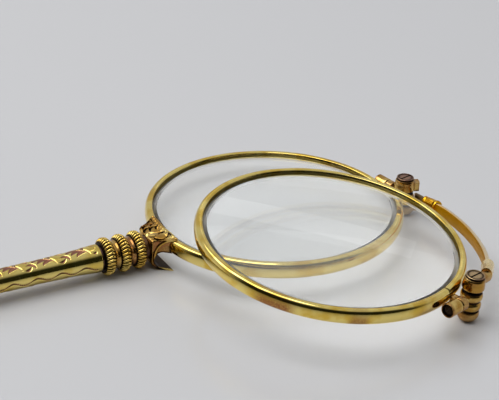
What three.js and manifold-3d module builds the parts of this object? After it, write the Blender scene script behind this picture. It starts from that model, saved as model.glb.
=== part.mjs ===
// Folding lorgnette: a pair of round lenses in slim gold rims, joined by a hinged spring bridge,
// on an engraved handle with a catch that holds the folded pair.
// Millimetres, +Z up. It lies on a table with the handle along -X and the lenses towards +X.
// The pair is shown almost folded: the front rim rests across the back rim.
import * as THREE from 'three';
import { mergeVertices } from 'three/addons/utils/BufferGeometryUtils.js';
import Module from 'manifold-3d';

const wasm = await Module();
wasm.setup();

// ---- driving dimensions ----
const DEG = Math.PI / 180;
const FIT = 0.05; // clearance between two pieces that touch
const MERGE = 1e-4; // points closer than this are one

const RIM_R = 19.5; // outside of a rim
const RIM_WIDTH = 1.15;
const RIM_HEIGHT = 2.2;
const RIM_ROUND = 0.55; // radial depth of the rounded outer side
const GROOVE_DEPTH = 0.4; // groove for the lens edge
const GROOVE_HEIGHT = 0.7;
const SLIT = 0.3; // the rim is split where it closes

const LENS_R = 18.6;
const LENS_BEVEL = 0.9; // radial width of the bevelled edge
const LENS_EDGE = 1.3; // thickness inside the bevel
const LENS_CROWN = 0.25; // rise of the front surface

const RIM_SIDES = 60; // facets round a rim or lens

const HINGE_R = 21.2; // hinge pin from the lens centre
const HALF_OPEN = 45; // angle between bridge chord and lens radius, at each pin
const BRIDGE_FOLD = 48.9; // turned back from the open state
const FRONT_FOLD = 81;
const HANDLE_TURN = 58; // between the handle and the line of the open lenses
const FRONT_RISE = 1.3; // front rim above the middle of its hinge
const PIN_LEAN = [0.026, -0.0795]; // slopes of the front hinge pin
const FRONT_LEAN = [0.066, -0.081]; // slopes of the front rim's normal, resting on the back rim

const BLOCK_R = 20.65; // free end of the closing block, from the lens centre
const BLOCK_ANGLE = 18.5; // and from the hinge
const BLOCK_SKEW = 20.7; // its axis runs outwards of the tangent by this
const BARREL_R = 1.05;
const BARREL_LENGTH = 2.2;
const BARREL_SEAM = 0.12;
const STUB_LENGTH = 1.2; // short barrel on the hinge side
const LUG_PULL = 0.962; // the lug's line is this much nearer the lens centre than the barrel's
const LUG_WIDTH = 1.6;
const LUG_HEIGHT = 1.5;
const RECESS = 0.5; // the closing screw's head is sunk this deep
const RECESS_R = 0.66;
const HEAD_R = 0.6;
const HEAD_TOP = 0.12; // below the barrel's end
const SHAFT_R = 0.36;
const SHAFT_END = 0.8; // the shaft reaches this far past the barrel, into the stub
const DRIVER_WIDTH = 0.3; // screwdriver slot
const DRIVER_DEPTH = 0.07;

const KNUCKLE_R = 1.6;
const PIN_R = 0.6;
const PIN_FIT = 0.06;
const SCREW_HEAD_R = 1.33;
const SCREW_HEAD_HEIGHT = 0.32;
const PIN_FOOT = -3.1; // lower end of the pin
const MIDDLE = [-1.75, 1.05]; // heights of the knuckles along the pin
const UPPER = [1.45, 3.33];
const LOWER_TOP = -1.9;
const STRAP_TURN = 8; // the strap that joins a fork's knuckles stands off the bridge's outside by this
const STRAP = { inside: 1.78, outside: 2.3, width: 1.5, low: -3.0, high: 2.9, knuckle: 1.0 };
const ARM = 1.5; // section of the arms, square

const BAND_HEIGHT = 2.0;
const BAND_THICKNESS = 0.95;
const BAND_Z = [-0.2, 2.2]; // middle of the band from the back rim's plane, at its back and front ends
const ARCH = 5.5; // rise of the bridge from its chord
const ARCH_POWER = 2.0; // squareness of the arch
const SLEEVE_NEAR = 3.4; // sleeve ends, measured from the hinge pin
const SLEEVE_FAR = 6.0;
const SLEEVE_SECTION = [1.28, 0.95]; // half-height and half-width

const RIM_PLANE = 3.8; // back rim's mid-plane above the table
const STEM_DROP = 1.0; // handle axis below the rim plane
const CORNET_ROOT = 21.6; // distances from the lens centre, along the handle
const CORNET_HALF_ROOT = 2.5; // half-width of the catch at its root
const CORNET_WAIST = 2.6; // and where it starts to flare
const CORNET_SPREAD = 12.8; // it follows the rim this far to both sides
const CORNET_FRONT = RIM_R - RIM_WIDTH + 0.12;
const CORNET_TOP = [1.2, 1.6]; // heights of its upper side, at the root and over the rim
const MOUTH = { x: -20.05, z: -2.1, r: 1.25 }; // the round mouth that grips the folded front rim
const JAW = { top: -3.45, tip: -18.75, back: -19.6, root: -2.75 }; // pointed lower jaw
const NECK_R = 1.75;
const SPACER_R = 2.15;
const TUBE_COLLAR_R = 1.8;
const ROPE_RINGS = [23.1, 25.5, 27.9];
const ROPE_R = 2.8;
const ROPE_WIDTH = 1.6;
const BORE = 1.15;
const TANG_R = 1.1;
const TANG_IN_TUBE = 16;
const TUBE_START = 29.1;
const TUBE_LENGTH = 66;
const TUBE_BORE = 1.25;
const TUBE_RADII = [[0, 2.05], [0.7, 2.05], [3.2, 1.87], [8, 1.74], [34, 1.68], [TUBE_LENGTH, 1.6]];

const CAP_PLUG = 3; // the end cap reaches this far into the tube
const CAP_FLANGE_R = 1.75;
const CAP_FLANGE = 0.6;
const CAP_SPIGOT = 2.2; // carries the end rope ring
const END_RING_R = 2.1;
const END_RING_WIDTH = 1.4;
const END_RING_AT = 1.4;
const KNOP = [[1.5, 2.25], [1.72, 2.7], [1.5, 3.3], [1.0, 3.9], [0.75, 4.6]]; // radius, height past the tube

const EYE_R = 1.55;
const EYE_HOLE = 0.8;
const EYE_THICKNESS = 1.0;
const EYE_FROM_TUBE = 5.9;
const LOOP_R = 2.9; // suspension ring, to the middle of its wire
const LOOP_WIRE = 0.4;

// ---- materials ----
const metal = (color, roughness) => new THREE.MeshStandardMaterial({ color, roughness, metalness: 1 });
const GOLD = metal(0xd9b45a, 0.22);
const WORN_GOLD = metal(0xc79a45, 0.3);
const DARK_GOLD = metal(0x7a5524, 0.45);
const STEEL = metal(0x9a9088, 0.35);
const GLASS = new THREE.MeshStandardMaterial({
  color: 0xe6ebe8, roughness: 0.05, metalness: 0, transparent: true, opacity: 0.35,
});

// ---- solids ----
function solid(geometry) {
  const bare = geometry.clone();
  bare.deleteAttribute('normal');
  bare.deleteAttribute('uv');
  const merged = mergeVertices(bare, MERGE);
  const faces = [];
  const index = merged.index.array;
  for (let i = 0; i < index.length; i += 3) {
    const [a, b, c] = [index[i], index[i + 1], index[i + 2]];
    if (a !== b && b !== c && c !== a) faces.push(a, b, c);
  }
  return new wasm.Manifold(new wasm.Mesh({
    numProp: 3,
    vertProperties: new Float32Array(merged.attributes.position.array),
    triVerts: new Uint32Array(faces),
  }));
}

function geometryOf(body) {
  const { vertProperties, triVerts } = body.getMesh();
  const geometry = new THREE.BufferGeometry();
  geometry.setAttribute('position', new THREE.BufferAttribute(new Float32Array(vertProperties), 3));
  geometry.setIndex(new THREE.BufferAttribute(new Uint32Array(triVerts), 1));
  geometry.computeVertexNormals();
  return geometry;
}

const join = (first, ...rest) => rest.reduce((body, other) => body.add(other), first);
const cut = (first, ...rest) => rest.reduce((body, other) => body.subtract(other), first);

// A turned piece about Z: the profile is [radius, height], anticlockwise, on the axis or closed.
function turned(profile, segments = 24) {
  const points = profile.map(([r, z]) => new THREE.Vector2(r, z));
  return new THREE.LatheGeometry(points, segments).rotateX(Math.PI / 2);
}

// The turned piece's +Z moved to a direction, and its origin to a point.
function along(geometry, from, direction) {
  const turn = new THREE.Quaternion().setFromUnitVectors(
    new THREE.Vector3(0, 0, 1), new THREE.Vector3(...direction).normalize());
  return geometry.applyQuaternion(turn).translate(...from);
}

const rod = (from, direction, start, end, radius, segments = 20) =>
  along(turned([[0, start], [radius, start], [radius, end], [0, end]], segments), from, direction);

// A square bar between two points.
function bar(from, to, width, height) {
  const [a, b] = [new THREE.Vector3(...from), new THREE.Vector3(...to)];
  const run = b.clone().sub(a);
  const geometry = new THREE.BoxGeometry(run.length(), width, height);
  geometry.rotateY(-Math.asin(run.z / run.length())).rotateZ(Math.atan2(run.y, run.x));
  const middle = a.add(b).multiplyScalar(0.5);
  return geometry.translate(middle.x, middle.y, middle.z);
}

const polar = (radius, degrees) => [radius * Math.cos(degrees * DEG), radius * Math.sin(degrees * DEG)];

function arcProfile(cx, rx, rz, steps) {
  return Array.from({ length: steps + 1 }, (_, i) => {
    const a = -Math.PI / 2 + (Math.PI * i) / steps;
    return [cx + rx * Math.cos(a), rz * Math.sin(a)];
  });
}

// ---- the tree of frames ----
const lorgnette = new THREE.Group();
const body = new THREE.Group(); // origin at the back lens centre
lorgnette.add(body);

function add(parent, name, shape, material) {
  const mesh = new THREE.Mesh(shape.isBufferGeometry ? shape : geometryOf(shape), material);
  mesh.name = name;
  parent.add(mesh);
}

// ---- rims and lenses ----
// Each rim has its own frame: origin at the lens centre, +X towards its hinge, Z its normal.
// side is +1 where the closing block lies towards +Y, and -1 where it lies towards -Y.
const ROUND_START = RIM_R - RIM_ROUND;
const SEAM_AT = BARREL_LENGTH + BARREL_SEAM / 2; // along the block

function blockPoint(distance, side, z) {
  const [x, y] = polar(BLOCK_R, BLOCK_ANGLE);
  const tangent = 90 - BLOCK_SKEW;
  const [dx, dy] = polar(distance, tangent);
  return [x + dx, side * (y - dy), z];
}

function rimDisc(grow) {
  return solid(turned([
    [0, -RIM_HEIGHT / 2 - grow],
    ...arcProfile(ROUND_START, RIM_ROUND + grow, RIM_HEIGHT / 2 + grow, 6),
    [0, RIM_HEIGHT / 2 + grow],
  ], RIM_SIDES));
}

function rim(side) {
  const inner = RIM_R - RIM_WIDTH;
  const half = RIM_HEIGHT / 2;
  const ring = turned([
    [inner, -half],
    ...arcProfile(ROUND_START, RIM_ROUND, half, 6),
    [inner, half],
    [inner, GROOVE_HEIGHT / 2], [inner + GROOVE_DEPTH, 0], [inner, -GROOVE_HEIGHT / 2],
    [inner, -half],
  ], RIM_SIDES);
  const [x, y] = blockPoint(SEAM_AT, side, 0);
  const slit = new THREE.BoxGeometry(4 * RIM_WIDTH, SLIT, 2 * RIM_HEIGHT)
    .translate(RIM_R, 0, 0)
    .rotateZ(Math.atan2(y, x));
  return cut(solid(ring), solid(slit));
}

function lens() {
  const half = LENS_EDGE / 2;
  const flat = LENS_R - LENS_BEVEL;
  const crown = (t) => [flat * t, half + LENS_CROWN * (1 - t * t)];
  return turned([
    [0, -half], [flat, -half], [LENS_R, 0], [flat, half], crown(0.7), crown(0.35), [0, half + LENS_CROWN],
  ], RIM_SIDES);
}

// ---- closing block ----
function blockAxis(side) {
  const a = blockPoint(0, side, 0);
  const b = blockPoint(1, side, 0);
  return [b[0] - a[0], b[1] - a[1], 0];
}

function screwHole(side, z) {
  const start = blockPoint(0, side, z);
  return join(
    solid(rod(start, blockAxis(side), -1, RECESS, RECESS_R)),
    solid(rod(start, blockAxis(side), 0, BARREL_LENGTH + SHAFT_END + 0.1, SHAFT_R + FIT)));
}

// A lug fills the space between a barrel and the round of the rim.
function lug(side, z, from, to) {
  const [start, end] = [blockPoint(from, side, z), blockPoint(to, side, z)];
  const pull = (p) => [p[0] * LUG_PULL, p[1] * LUG_PULL, p[2]];
  return solid(bar(pull(start), pull(end), LUG_WIDTH, LUG_HEIGHT));
}

function closingBarrel(side, z) {
  const barrel = solid(rod(blockPoint(0, side, z), blockAxis(side), 0, BARREL_LENGTH, BARREL_R));
  return cut(join(barrel, lug(side, z, 0.15, BARREL_LENGTH - 0.05)), screwHole(side, z), rimDisc(FIT));
}

function closingScrew(side, z) {
  const start = blockPoint(0, side, z);
  const axis = blockAxis(side);
  const head = solid(rod(start, axis, HEAD_TOP, RECESS - FIT, HEAD_R));
  const shaft = solid(rod(start, axis, RECESS - 2 * FIT, BARREL_LENGTH + SHAFT_END, SHAFT_R));
  const slot = along(
    new THREE.BoxGeometry(3 * HEAD_R, DRIVER_WIDTH, 2 * DRIVER_DEPTH).translate(0, 0, HEAD_TOP), start, axis);
  return cut(join(head, shaft), solid(slot));
}

// ---- hinges ----
const FOOT = -RIM_PLANE; // the fork stands on the table
const LEANING_FOOT = FOOT + 0.08; // a leaning fork is shorter, so that its edge just clears it

// The leaf joins the short barrel to the middle knuckle. pin is the hinge axis in the rim's frame.
function leaf(side, blockZ, hingeZ, pin) {
  const at = [HINGE_R, 0, hingeZ];
  const [low, high] = MIDDLE;
  const knuckle = solid(along(turned([
    [0, low], [1.38, low], [1.55, low + 0.3], [KNUCKLE_R, -0.95], [1.48, -0.55], [1.3, -0.38],
    [1.48, -0.2], [KNUCKLE_R, 0.15], [KNUCKLE_R, 0.55], [1.45, high - 0.12], [1.3, high], [0, high],
  ]), at, pin));
  const from = SEAM_AT + BARREL_SEAM / 2;
  const to = from + STUB_LENGTH;
  const stub = solid(rod(blockPoint(0, side, blockZ), blockAxis(side), from, to, BARREL_R));
  const arm = solid(bar(blockPoint(to - 0.4, side, blockZ), [HINGE_R, 0, hingeZ * 0.8], ARM, 1.7));
  return cut(
    join(knuckle, stub, arm, lug(side, blockZ, from + 0.05, to)),
    solid(rod(at, pin, low - 1, high + 1, PIN_R + PIN_FIT)),
    screwHole(side, blockZ),
    rimDisc(FIT));
}

// A fork has its pin along Z at the origin. +X points outwards from the bridge chord, and the
// other pin lies towards side * Y. Its arm runs from armStart to the sleeve.
function fork(side, armStart, sleeveEnd, foot) {
  const upper = solid(turned([
    [0, UPPER[0]], [1.45, UPPER[0]], [KNUCKLE_R, 1.75],
    [KNUCKLE_R, 2.4], [1.52, 3.0], [1.4, UPPER[1]], [0, UPPER[1]],
  ]));
  const lower = solid(turned([
    [0, foot], [0.9, foot], [1.38, -3.4], [1.58, -2.85], [1.55, -2.2], [1.4, LOWER_TOP], [0, LOWER_TOP],
  ]));
  const turn = side * STRAP_TURN * DEG;
  const plate = (from, low, high) => solid(
    new THREE.BoxGeometry(STRAP.outside - from, STRAP.width, high - low)
      .translate((from + STRAP.outside) / 2, 0, (low + high) / 2).rotateZ(turn));
  return cut(
    join(
      upper, lower,
      plate(STRAP.inside, STRAP.low, STRAP.high),
      plate(STRAP.knuckle, UPPER[0], STRAP.high),
      plate(STRAP.knuckle, STRAP.low, LOWER_TOP),
      solid(bar(armStart, sleeveEnd, ARM, ARM))),
    solid(rod([0, 0, 0], [0, 0, 1], LOWER_TOP, UPPER[0], STRAP.inside - FIT, 32)),
    solid(rod([0, 0, 0], [0, 0, 1], PIN_FOOT - 0.1, UPPER[1] + 1, PIN_R + PIN_FIT)));
}

function pivotScrew() {
  const seat = UPPER[1];
  const top = seat + SCREW_HEAD_HEIGHT;
  const head = turned([
    [0, seat - 0.3], [PIN_R, seat - 0.3], [PIN_R, seat + FIT], [SCREW_HEAD_R - 0.1, seat + FIT],
    [SCREW_HEAD_R, seat + 0.15], [SCREW_HEAD_R - 0.06, top], [0, top],
  ]);
  const pin = rod([0, 0, 0], [0, 0, 1], PIN_FOOT, seat, PIN_R, 24);
  const slot = new THREE.BoxGeometry(3 * SCREW_HEAD_R, 0.26, SCREW_HEAD_HEIGHT)
    .translate(0, 0, top).rotateZ(0.5);
  return cut(join(solid(head), solid(pin)), solid(slot));
}

// ---- back frame ----
const backHinge = HALF_OPEN - HANDLE_TURN; // direction of the back hinge from its lens centre
const backRim = new THREE.Group();
backRim.rotation.z = backHinge * DEG;
body.add(backRim);

add(backRim, 'back_rim', rim(1), GOLD);
add(backRim, 'back_lens', lens(), GLASS);
add(backRim, 'back_closing_barrel', closingBarrel(1, 0), WORN_GOLD);
add(backRim, 'back_closing_screw', closingScrew(1, 0), STEEL);
add(backRim, 'back_hinge_leaf', leaf(1, 0, 0, [0, 0, 1]), WORN_GOLD);

// ---- catch and handle, along -X ----
const stem = new THREE.Group();
stem.position.z = -STEM_DROP;
stem.rotation.y = -Math.PI / 2; // its Z runs along the handle, away from the lenses
body.add(stem);

// The catch is a flared casting. Its upper jaw is soldered over the back rim, and its lower jaw
// reaches under it, so that the folded front rim snaps into the mouth between them.
function catchCornet() {
  const flareFrom = -20.2; // the plan and the top both start to flare here
  const plan = new THREE.Shape();
  plan.moveTo(-CORNET_ROOT, -CORNET_HALF_ROOT);
  plan.quadraticCurveTo(flareFrom, -CORNET_WAIST, ...polar(CORNET_FRONT + 0.25, 180 + CORNET_SPREAD));
  plan.absarc(0, 0, CORNET_FRONT, (180 + CORNET_SPREAD) * DEG, (180 - CORNET_SPREAD) * DEG, true);
  plan.quadraticCurveTo(flareFrom, CORNET_WAIST, -CORNET_ROOT, CORNET_HALF_ROOT);
  const flare = new THREE.ExtrudeGeometry(plan, { depth: 8, bevelEnabled: false, curveSegments: 10 })
    .translate(0, 0, -5);

  const front = -CORNET_FRONT + 0.1;
  const profile = new THREE.Shape();
  profile.moveTo(-CORNET_ROOT, CORNET_TOP[0]);
  profile.quadraticCurveTo(flareFrom, CORNET_TOP[0], front, CORNET_TOP[1]);
  profile.lineTo(front, -1.0);
  profile.absarc(MOUTH.x, MOUTH.z, MOUTH.r, Math.PI / 2, (3 * Math.PI) / 2, false);
  profile.lineTo(-19.0, JAW.top);
  profile.lineTo(JAW.tip, -RIM_PLANE);
  profile.lineTo(JAW.back, -RIM_PLANE);
  profile.quadraticCurveTo(-20.9, -3.75, -CORNET_ROOT, JAW.root);
  const side = new THREE.ExtrudeGeometry(profile, { depth: 12, bevelEnabled: false, curveSegments: 10 })
    .translate(0, 0, -6).rotateX(Math.PI / 2);
  return cut(solid(flare).intersect(solid(side)), rimDisc(FIT));
}
add(body, 'catch_cornet', catchCornet(), WORN_GOLD);

const collar = (from, to, radius, bore = BORE, segments = 28) => turned([
  [bore, from], [radius, from], [radius, to], [bore, to], [bore, from],
], segments);

function ropeRing(middle, radius = ROPE_R, width = ROPE_WIDTH) {
  const half = width / 2;
  return turned([
    [BORE, middle - half], [radius - half, middle - half],
    ...arcProfile(radius - half, half, half, 6).slice(1, -1).map(([r, z]) => [r, middle + z]),
    [radius - half, middle + half], [BORE, middle + half], [BORE, middle - half],
  ], 32);
}

const halfRope = ROPE_WIDTH / 2;
add(stem, 'cornet_neck', collar(CORNET_ROOT + FIT, ROPE_RINGS[0] - halfRope - FIT, NECK_R), DARK_GOLD);
ROPE_RINGS.forEach((middle, i) => add(stem, `rope_ring_${i + 1}`, ropeRing(middle), GOLD));
ROPE_RINGS.slice(1).forEach((middle, i) => {
  const from = ROPE_RINGS[i] + halfRope + FIT;
  add(stem, `ring_spacer_${i + 1}`, collar(from, middle - halfRope - FIT, SPACER_R), WORN_GOLD);
});
add(stem, 'tube_collar', collar(ROPE_RINGS[2] + halfRope + FIT, TUBE_START - FIT, TUBE_COLLAR_R), DARK_GOLD);

const tube = [
  ...TUBE_RADII.map(([z, r]) => [r, TUBE_START + z]),
  [TUBE_BORE, TUBE_START + TUBE_LENGTH], [TUBE_BORE, TUBE_START], [TUBE_RADII[0][1], TUBE_START],
];
add(stem, 'handle_tube', turned(tube, 32), GOLD);
const tang = rod([0, 0, 0], [0, 0, 1], CORNET_ROOT + FIT, TUBE_START + TANG_IN_TUBE, TANG_R);
add(stem, 'handle_tang', tang, DARK_GOLD);

const tubeEnd = TUBE_START + TUBE_LENGTH;
add(stem, 'end_cap', turned([
  [0, tubeEnd - CAP_PLUG], [TUBE_BORE - FIT, tubeEnd - CAP_PLUG],
  [TUBE_BORE - FIT, tubeEnd + FIT], [CAP_FLANGE_R, tubeEnd + FIT],
  [CAP_FLANGE_R, tubeEnd + CAP_FLANGE], [BORE - FIT, tubeEnd + CAP_FLANGE],
  [BORE - FIT, tubeEnd + CAP_SPIGOT], [0, tubeEnd + CAP_SPIGOT],
], 28), WORN_GOLD);
add(stem, 'end_rope_ring', ropeRing(tubeEnd + END_RING_AT, END_RING_R, END_RING_WIDTH), GOLD);

const eyeAt = tubeEnd + EYE_FROM_TUBE;
function endFinial() {
  const outline = [[0, KNOP[0][1]], ...KNOP, [0, KNOP.at(-1)[1]]];
  const knop = solid(turned(outline.map(([r, z]) => [r, tubeEnd + z])));
  const half = EYE_THICKNESS / 2;
  const eye = solid(rod([0, 0, eyeAt], [0, 1, 0], -half, half, EYE_R, 28));
  const hole = solid(rod([0, 0, eyeAt], [0, 1, 0], -2, 2, EYE_HOLE));
  return cut(join(knop, eye), hole);
}
add(stem, 'end_finial', endFinial(), WORN_GOLD);

// ---- suspension ring: it hangs from the eye, with its far side on the table ----
const loopSlope = Math.asin((RIM_PLANE - STEM_DROP - LOOP_WIRE - FIT) / (2 * LOOP_R));
const loop = new THREE.Group();
loop.position.set(-eyeAt, 0, -STEM_DROP);
loop.rotation.y = -loopSlope;
body.add(loop);
const wire = new THREE.TorusGeometry(LOOP_R, LOOP_WIRE, 8, 32).translate(-LOOP_R, 0, 0);
add(loop, 'suspension_ring', wire, GOLD);

// ---- bridge ----
// Its frame: origin at the back pin, +X outwards from the chord, the front pin towards -Y.
const CHORD = 2 * HINGE_R * Math.cos(HALF_OPEN * DEG);
const bridge = new THREE.Group();
const [backPinX, backPinY] = polar(HINGE_R, backHinge);
bridge.position.set(backPinX, backPinY, 0);
bridge.rotation.z = (-HANDLE_TURN - BRIDGE_FOLD + 90) * DEG;
body.add(bridge);

// A point of the arch, at an angle from 0 at the back pin to 180 at the front pin.
function archPoint(angle) {
  const [c, s] = [Math.cos(angle * DEG), Math.sin(angle * DEG)];
  const power = 2 / ARCH_POWER;
  const run = Math.sign(c) * Math.abs(c) ** power;
  const crossed = (1 - run) / 2;
  const z = BAND_Z[0] + (BAND_Z[1] - BAND_Z[0]) * crossed;
  return new THREE.Vector3(ARCH * s ** power, -CHORD * crossed, z);
}

// The arch's angle at a distance from the back pin.
function archAngle(distance) {
  let [low, high] = [0, 90];
  for (let i = 0; i < 40; i++) {
    const middle = (low + high) / 2;
    const { x, y } = archPoint(middle);
    if (Math.hypot(x, y) < distance) low = middle;
    else high = middle;
  }
  return low;
}

function swept(shape, fromAngle, toAngle, steps) {
  const step = (toAngle - fromAngle) / steps;
  const points = Array.from({ length: steps + 1 }, (_, i) => archPoint(fromAngle + step * i));
  const path = new THREE.CatmullRomCurve3(points);
  return new THREE.ExtrudeGeometry(shape, { steps, extrudePath: path, curveSegments: 4 });
}

// Half-round: flat towards the lenses, rounded outside. X of the section runs down, Y outwards.
function bandSection() {
  const shape = new THREE.Shape();
  shape.moveTo(-BAND_HEIGHT / 2, -BAND_THICKNESS / 2);
  shape.lineTo(BAND_HEIGHT / 2, -BAND_THICKNESS / 2);
  shape.lineTo(BAND_HEIGHT / 2, -BAND_THICKNESS / 4);
  shape.absellipse(0, -BAND_THICKNESS / 4, BAND_HEIGHT / 2, BAND_THICKNESS * 0.75, 0, Math.PI, false);
  return shape;
}

function sleeveSection() {
  const shape = new THREE.Shape();
  shape.absellipse(0, 0, SLEEVE_SECTION[0], SLEEVE_SECTION[1], 0, 2 * Math.PI, false);
  return shape;
}

const bandStart = archAngle(SLEEVE_FAR);
const sleeveStart = archAngle(SLEEVE_NEAR);
const SLEEVE_GAP = 0.5; // between a sleeve and the band, as an angle of the arch
add(bridge, 'bridge_band', swept(bandSection(), bandStart, 180 - bandStart, 44), GOLD);
const backSleeve = swept(sleeveSection(), sleeveStart, bandStart - SLEEVE_GAP, 4);
const frontSleeve = swept(sleeveSection(), 180 - sleeveStart, 180 - bandStart + SLEEVE_GAP, 4);
add(bridge, 'back_sleeve', backSleeve, WORN_GOLD);
add(bridge, 'front_sleeve', frontSleeve, WORN_GOLD);

// The fork's arm stops short of the sleeve. The back arm starts at the strap, and the front arm at the
// upper knuckle.
const armAngle = archAngle(SLEEVE_NEAR - 0.35);
const backEnd = archPoint(armAngle);
const backArm = [STRAP.inside, 0, backEnd.z];
add(bridge, 'back_fork', fork(-1, backArm, backEnd.toArray(), FOOT), WORN_GOLD);
add(bridge, 'back_pivot_screw', pivotScrew(), STEEL);

// ---- front frame ----
const chordDirection = bridge.rotation.z / DEG - 90; // from the back pin to the front pin
const frontPin = [
  backPinX + CHORD * Math.cos(chordDirection * DEG),
  backPinY + CHORD * Math.sin(chordDirection * DEG),
];
const UP = new THREE.Vector3(0, 0, 1);
const pinAxis = new THREE.Vector3(...PIN_LEAN, 1).normalize();
const rimNormal = new THREE.Vector3(...FRONT_LEAN, 1).normalize();

// The front fork and its screw lean with the pin.
const frontFork = new THREE.Group();
frontFork.position.set(...frontPin, 0);
frontFork.quaternion.setFromUnitVectors(UP, pinAxis);
body.add(frontFork);
const frontForkTurned = new THREE.Group();
frontForkTurned.rotation.z = bridge.rotation.z;
frontFork.add(frontForkTurned);
const frontEnd = archPoint(180 - armAngle);
const frontArm = [0, 0, BAND_Z[1] + 0.1];
const frontArmEnd = [frontEnd.x, CHORD + frontEnd.y, frontEnd.z];
add(frontForkTurned, 'front_fork', fork(1, frontArm, frontArmEnd, LEANING_FOOT), WORN_GOLD);
add(frontForkTurned, 'front_pivot_screw', pivotScrew(), STEEL);

// The front rim's X axis points at its hinge and lies in the leaning rim plane.
const lensDirection = chordDirection - HALF_OPEN - FRONT_FOLD;
const inPlane = new THREE.Vector3(...polar(-1, lensDirection), 0);
inPlane.addScaledVector(rimNormal, -inPlane.dot(rimNormal)).normalize();
const frontRim = new THREE.Group();
frontRim.quaternion.setFromRotationMatrix(new THREE.Matrix4().makeBasis(
  inPlane, rimNormal.clone().cross(inPlane), rimNormal));
frontRim.position.set(...frontPin, 0)
  .addScaledVector(inPlane, -HINGE_R)
  .addScaledVector(rimNormal, FRONT_RISE);
body.add(frontRim);

const pinInRim = pinAxis.clone().applyQuaternion(frontRim.quaternion.clone().invert()).toArray();
const FRONT_BLOCK_Z = -FRONT_RISE / 2;
add(frontRim, 'front_rim', rim(-1), GOLD);
add(frontRim, 'front_lens', lens(), GLASS);
add(frontRim, 'front_closing_barrel', closingBarrel(-1, FRONT_BLOCK_Z), WORN_GOLD);
add(frontRim, 'front_closing_screw', closingScrew(-1, FRONT_BLOCK_Z), STEEL);
add(frontRim, 'front_hinge_leaf', leaf(-1, FRONT_BLOCK_Z, -FRONT_RISE, pinInRim), WORN_GOLD);

// ---- the part's origin: middle of its footprint, on the table ----
lorgnette.updateMatrixWorld(true);
const bounds = new THREE.Box3().setFromObject(lorgnette, true);
const centre = bounds.getCenter(new THREE.Vector3());
body.position.set(-centre.x, -centre.y, -bounds.min.z);

export default lorgnette;
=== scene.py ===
"""Looks of a folding gold lorgnette: two rims with clear lenses, a hinged bridge and an engraved handle.

Shapes are worked out in millimetres in the same small frames as the CAD part, and placed in metres.
"""

import math

import bmesh
import bpy
import numpy as np
from mathutils import Matrix, Vector


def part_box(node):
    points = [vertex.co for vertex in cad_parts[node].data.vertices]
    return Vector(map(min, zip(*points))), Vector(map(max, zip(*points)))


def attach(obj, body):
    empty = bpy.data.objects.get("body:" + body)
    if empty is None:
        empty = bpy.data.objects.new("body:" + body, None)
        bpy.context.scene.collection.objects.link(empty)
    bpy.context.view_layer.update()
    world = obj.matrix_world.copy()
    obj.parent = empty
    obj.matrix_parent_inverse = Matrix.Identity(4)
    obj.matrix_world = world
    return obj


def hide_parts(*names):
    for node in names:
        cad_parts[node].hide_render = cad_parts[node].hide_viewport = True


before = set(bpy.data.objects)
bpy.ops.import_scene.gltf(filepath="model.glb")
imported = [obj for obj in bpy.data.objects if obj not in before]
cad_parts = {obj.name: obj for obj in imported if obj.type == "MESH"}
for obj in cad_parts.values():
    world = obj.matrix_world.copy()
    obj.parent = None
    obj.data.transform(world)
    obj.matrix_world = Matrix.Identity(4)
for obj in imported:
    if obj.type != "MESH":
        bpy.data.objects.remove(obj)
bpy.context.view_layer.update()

MM = 0.001

# ---- driving dimensions, in millimetres and degrees, as in the CAD part ----
FIT = 0.05
RIM_R = 19.5
RIM_WIDTH = 1.15
RIM_HEIGHT = 2.2
RIM_ROUND = 0.55
SLIT = 0.3
LENS_R = 18.6
LENS_BEVEL = 0.9
LENS_EDGE = 1.3
LENS_CROWN = 0.25
HINGE_R = 21.2
HALF_OPEN = 45
BRIDGE_FOLD = 48.9
FRONT_FOLD = 81
HANDLE_TURN = 58
FRONT_RISE = 1.3
PIN_LEAN = (0.026, -0.0795)
FRONT_LEAN = (0.066, -0.081)
BLOCK_R = 20.65
BLOCK_ANGLE = 18.5
BLOCK_SKEW = 20.7
BARREL_R = 1.05
BARREL_LENGTH = 2.2
BARREL_SEAM = 0.12
STUB_LENGTH = 1.2
KNUCKLE_R = 1.6
PIN_R = 0.6
PIN_FIT = 0.06
SCREW_HEAD_R = 1.33
BAND_HEIGHT = 2.0
BAND_THICKNESS = 0.95
BAND_Z = (-0.2, 2.2)
ARCH = 5.5
ARCH_POWER = 2.0
SLEEVE_NEAR = 3.4
SLEEVE_FAR = 6.0
RIM_PLANE = 3.8
STEM_DROP = 1.0
CORNET_ROOT = 21.6
ROPE_RINGS = (23.1, 25.5, 27.9)
ROPE_R = 2.8
ROPE_WIDTH = 1.6
BORE = 1.15
TUBE_START = 29.1
TUBE_LENGTH = 66
TUBE_BORE = 1.25
TUBE_RADII = ((0, 2.05), (0.7, 2.05), (3.2, 1.87), (8, 1.74), (34, 1.68), (TUBE_LENGTH, 1.6))
EYE_R = 1.55
EYE_HOLE = 0.8
EYE_THICKNESS = 1.0
EYE_FROM_TUBE = 5.9
LOOP_R = 2.9
LOOP_WIRE = 0.4
MIDDLE = (-1.75, 1.05)
UPPER = (1.45, 3.33)
LOWER_TOP = -1.9
FOOT = -RIM_PLANE
LEANING_FOOT = FOOT + 0.08
STRAP_TURN = 8
RECESS = 0.5

# ---- finer than the CAD part, in millimetres and degrees ----
VOXEL = 0.035  # grain of the castings
HOLLOW_DEPTH = 0.035  # a dip this deep is full of tarnish
LUG_WIDTH = 1.3
LUG_HEIGHT = 1.5
STRAP_Z = (-3.0, 2.9)
BAND_TUCK = 4  # of the arch, inside each sleeve
SLEEVE_LIP = 0.3  # of the arch, past the band's start
SLEEVE_SIZE = 0.955
LEAF_PITCH = 5.1
LEAF_WIDENING = 1.45
LEAF_DEPTH = 0.14
WAVE_PITCH = 3.6
WAVE_HEIGHT = 0.42
WAVE_AT = 103  # from the tube's top
TICK_PITCH = 0.28

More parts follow.
